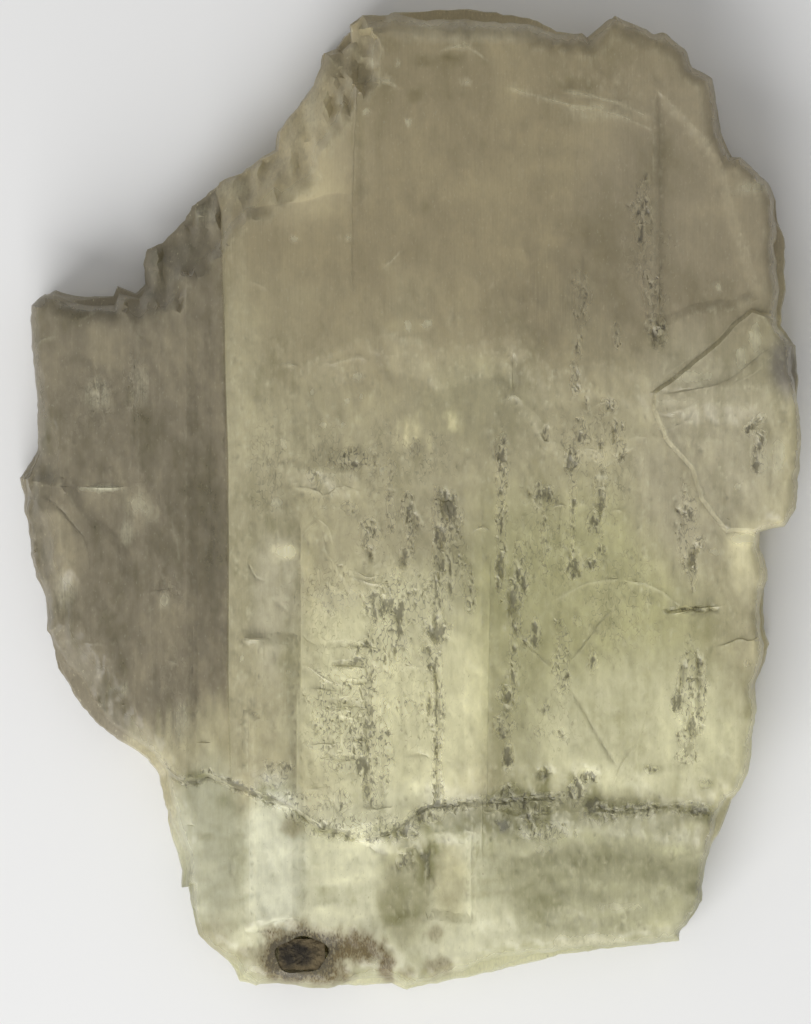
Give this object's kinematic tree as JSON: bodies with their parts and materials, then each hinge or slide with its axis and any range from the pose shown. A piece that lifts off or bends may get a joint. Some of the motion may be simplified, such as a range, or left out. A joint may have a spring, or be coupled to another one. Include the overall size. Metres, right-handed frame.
{
  "type": "selenite crystal blade",
  "caption": "Flat, see-through slab of selenite with stepped cleavage sheets, broken edges, pitted faces and a dark clay lump in its foot.",
  "frame": {"origin": "middle of the blade's box, on the surface that its back face rests on", "axes": "+Y along the crystal's long axis towards its head, +Z out of the stepped upper face, +X towards the side crystal"},
  "size_m": [0.1958, 0.2466, 0.0315],
  "materials": {
    "selenite": "satin to glossy cleavage faces, see-through with milky veils, tinted grey-olive",
    "iron_clay": "matt, earthy, brown to black"
  },
  "bodies": {
    "root": {"crystal_blade": "selenite", "clay_inclusion": "iron_clay"}
  },
  "joints": []
}
